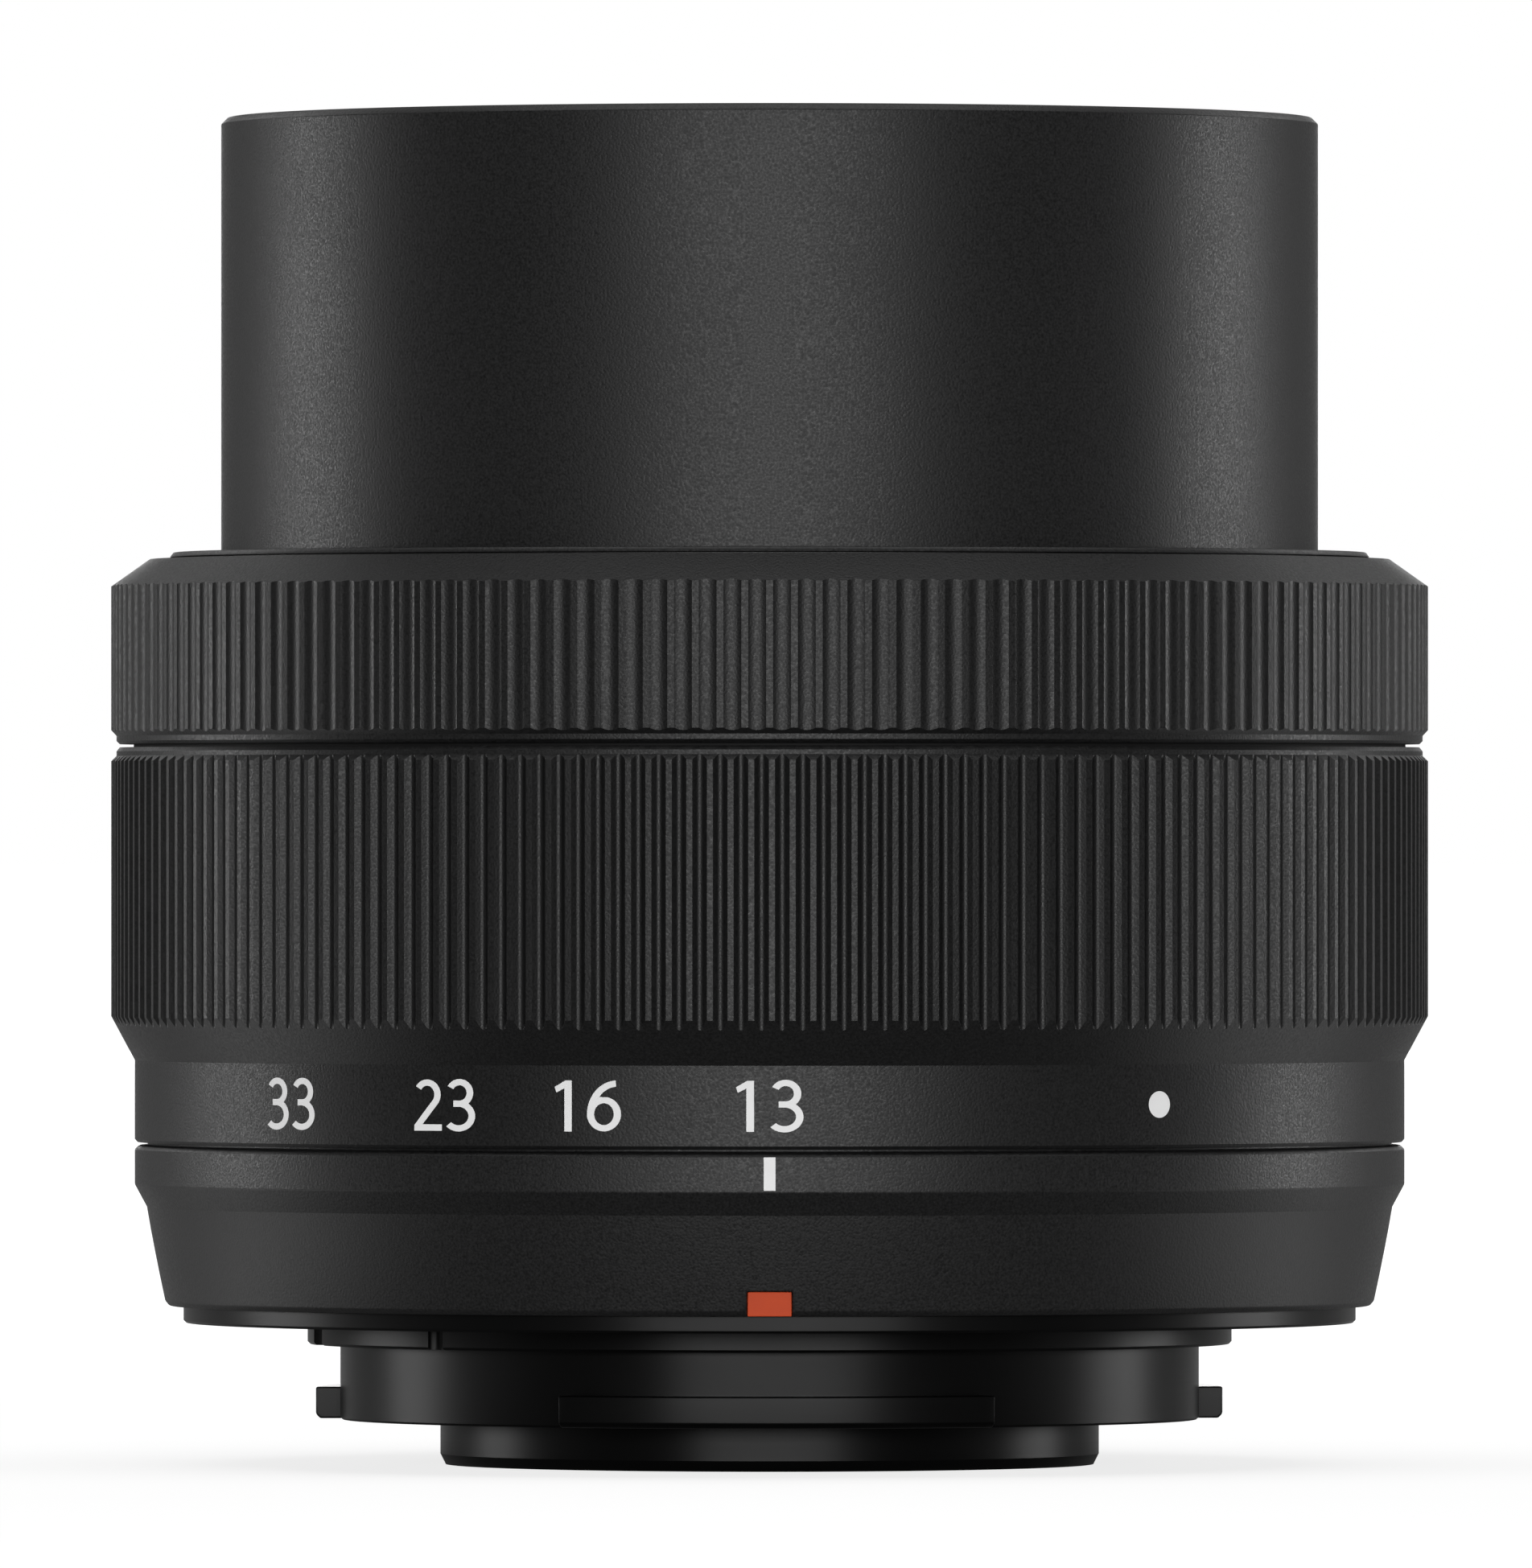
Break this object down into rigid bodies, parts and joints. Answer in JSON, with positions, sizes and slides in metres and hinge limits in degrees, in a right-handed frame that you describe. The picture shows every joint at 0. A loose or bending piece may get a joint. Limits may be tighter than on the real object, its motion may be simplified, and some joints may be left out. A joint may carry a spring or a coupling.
{
  "type": "camera zoom lens",
  "caption": "Retractable camera zoom lens with a bayonet mount, fluted zoom and focus rings, a sliding front barrel, moving lens groups and a bladed iris.",
  "frame": {"origin": "centre of the mount's bearing face on the lens axis", "axes": "+Z along the lens axis to the front of the lens, -Y through the index line, +X to the right of it"},
  "size_m": [0.0619, 0.0618, 0.0633],
  "materials": {
    "black_shell": "fine-grained satin black",
    "grip": "satin black, fluted",
    "mount_black": "satin black",
    "inner_black": "matte black",
    "glass": "coated",
    "steel": "satin",
    "brass": "bright",
    "aluminium": "dark anodised",
    "board": "solder mask",
    "chip": "matte",
    "flex": "film",
    "felt": "felt",
    "mark": "orange",
    "strip": "reflective"
  },
  "bodies": {
    "lens_body": {"bayonet_mount": "mount_black", "mount_screws": "steel", "rear_baffle": "inner_black", "contact_block": "inner_black", "contact_pins": "brass", "base_shell": "black_shell", "alignment_mark": "mark", "fixed_barrel": "inner_black", "front_cover_ring": "black_shell", "felt_seal": "felt", "main_board": "board", "board_chips": "chip", "inner_screws": "steel", "flex_cable": "flex", "rear_frame": "inner_black", "rod_plate": "steel", "guide_rods": "steel", "focus_motor": "steel", "lens_9": "glass", "lens_10": "glass", "rear_retainer": "inner_black", "ring_sensor": "chip"},
    "lead_screw": {"lead_screw": "steel"},
    "focus_group": {"focus_carriage": "inner_black", "lens_8": "glass", "focus_retainer": "inner_black", "focus_nut": "brass"},
    "focus_ring": {"focus_ring": "grip", "code_strip": "strip"},
    "extension_sleeve": {"extension_sleeve": "aluminium", "guide_sleeve": "aluminium", "sleeve_screws": "steel"},
    "zoom_ring": {"zoom_ring": "grip", "cam_tube": "aluminium", "drive_keys": "steel"},
    "zoom_group": {"zoom_cell": "inner_black", "zoom_rear_cell": "inner_black", "zoom_pins": "brass", "lens_4": "glass", "lens_5": "glass", "lens_6": "glass", "lens_7": "glass", "zoom_retainers": "inner_black", "iris_plate": "inner_black"},
    "iris_ring": {"iris_ring": "steel"},
    "front_barrel": {"front_barrel": "black_shell", "barrel_pins": "brass", "front_cell": "inner_black", "lens_1": "glass", "lens_2": "glass", "lens_3": "glass", "front_bezel": "inner_black", "front_retainers": "inner_black"},
    "iris_blade_1": {"iris_blade_1": "chip"},
    "iris_blade_2": {"iris_blade_2": "chip"},
    "iris_blade_3": {"iris_blade_3": "chip"},
    "iris_blade_4": {"iris_blade_4": "chip"},
    "iris_blade_5": {"iris_blade_5": "chip"},
    "iris_blade_6": {"iris_blade_6": "chip"},
    "iris_blade_7": {"iris_blade_7": "chip"}
  },
  "joints": [
    {"name": "extend_turn", "type": "hinge", "parent": "lens_body", "child": "extension_sleeve", "pos_m": [0, 0, 0], "axis": [0, 0, 1], "range_deg": [-37.02, 0]},
    {"name": "barrel_slide", "type": "slide", "parent": "lens_body", "child": "front_barrel", "axis": [0, 0, 1], "range_m": [-0.01911, 0]},
    {"name": "zoom_turn", "type": "hinge", "parent": "extension_sleeve", "child": "zoom_ring", "pos_m": [0, 0, 0], "axis": [0, 0, 1], "range_deg": [0, 47.82]},
    {"name": "zoom_group_slide", "type": "slide", "parent": "extension_sleeve", "child": "zoom_group", "axis": [0, 0, 1], "range_m": [0, 0.006]},
    {"name": "focus_ring_turn", "type": "hinge", "parent": "lens_body", "child": "focus_ring", "pos_m": [0, 0, 0], "axis": [0, 0, 1], "continuous": true},
    {"name": "lead_screw_turn", "type": "hinge", "parent": "lens_body", "child": "lead_screw", "pos_m": [0, -0.0121, 0], "axis": [0, 0, 1], "range_deg": [-577, 577]},
    {"name": "focus_slide", "type": "slide", "parent": "lens_body", "child": "focus_group", "axis": [0, 0, 1], "range_m": [-0.0008, 0.0008]},
    {"name": "iris_turn", "type": "hinge", "parent": "zoom_group", "child": "iris_ring", "pos_m": [0, 0, 0], "axis": [0, 0, 1], "range_deg": [-1.9, 1.9]},
    {"name": "blade_1_turn", "type": "hinge", "parent": "zoom_group", "child": "iris_blade_1", "pos_m": [0, -0.0069, 0.0092], "axis": [0, 0, 1], "range_deg": [-12, 12]},
    {"name": "blade_2_turn", "type": "hinge", "parent": "zoom_group", "child": "iris_blade_2", "pos_m": [0.00539, -0.0043, 0.0092], "axis": [0, 0, 1], "range_deg": [-12, 12]},
    {"name": "blade_3_turn", "type": "hinge", "parent": "zoom_group", "child": "iris_blade_3", "pos_m": [0.00673, 0.00154, 0.0092], "axis": [0, 0, 1], "range_deg": [-12, 12]},
    {"name": "blade_4_turn", "type": "hinge", "parent": "zoom_group", "child": "iris_blade_4", "pos_m": [0.00299, 0.00622, 0.0092], "axis": [0, 0, 1], "range_deg": [-12, 12]},
    {"name": "blade_5_turn", "type": "hinge", "parent": "zoom_group", "child": "iris_blade_5", "pos_m": [-0.00299, 0.00622, 0.0092], "axis": [0, 0, 1], "range_deg": [-12, 12]},
    {"name": "blade_6_turn", "type": "hinge", "parent": "zoom_group", "child": "iris_blade_6", "pos_m": [-0.00673, 0.00154, 0.0092], "axis": [0, 0, 1], "range_deg": [-12, 12]},
    {"name": "blade_7_turn", "type": "hinge", "parent": "zoom_group", "child": "iris_blade_7", "pos_m": [-0.00539, -0.0043, 0.0092], "axis": [0, 0, 1], "range_deg": [-12, 12]}
  ],
  "couplings": [
    {"joint": "extend_turn", "follows": "barrel_slide", "rad_per_m": 33.792},
    {"joint": "zoom_turn", "follows": "zoom_group_slide", "rad_per_m": 139.04},
    {"joint": "lead_screw_turn", "follows": "focus_slide", "rad_per_m": 12566},
    {"joint": "blade_1_turn", "follows": "iris_turn", "ratio": 6.3077},
    {"joint": "blade_2_turn", "follows": "iris_turn", "ratio": 6.3077},
    {"joint": "blade_3_turn", "follows": "iris_turn", "ratio": 6.3077},
    {"joint": "blade_4_turn", "follows": "iris_turn", "ratio": 6.3077},
    {"joint": "blade_5_turn", "follows": "iris_turn", "ratio": 6.3077},
    {"joint": "blade_6_turn", "follows": "iris_turn", "ratio": 6.3077},
    {"joint": "blade_7_turn", "follows": "iris_turn", "ratio": 6.3077}
  ]
}
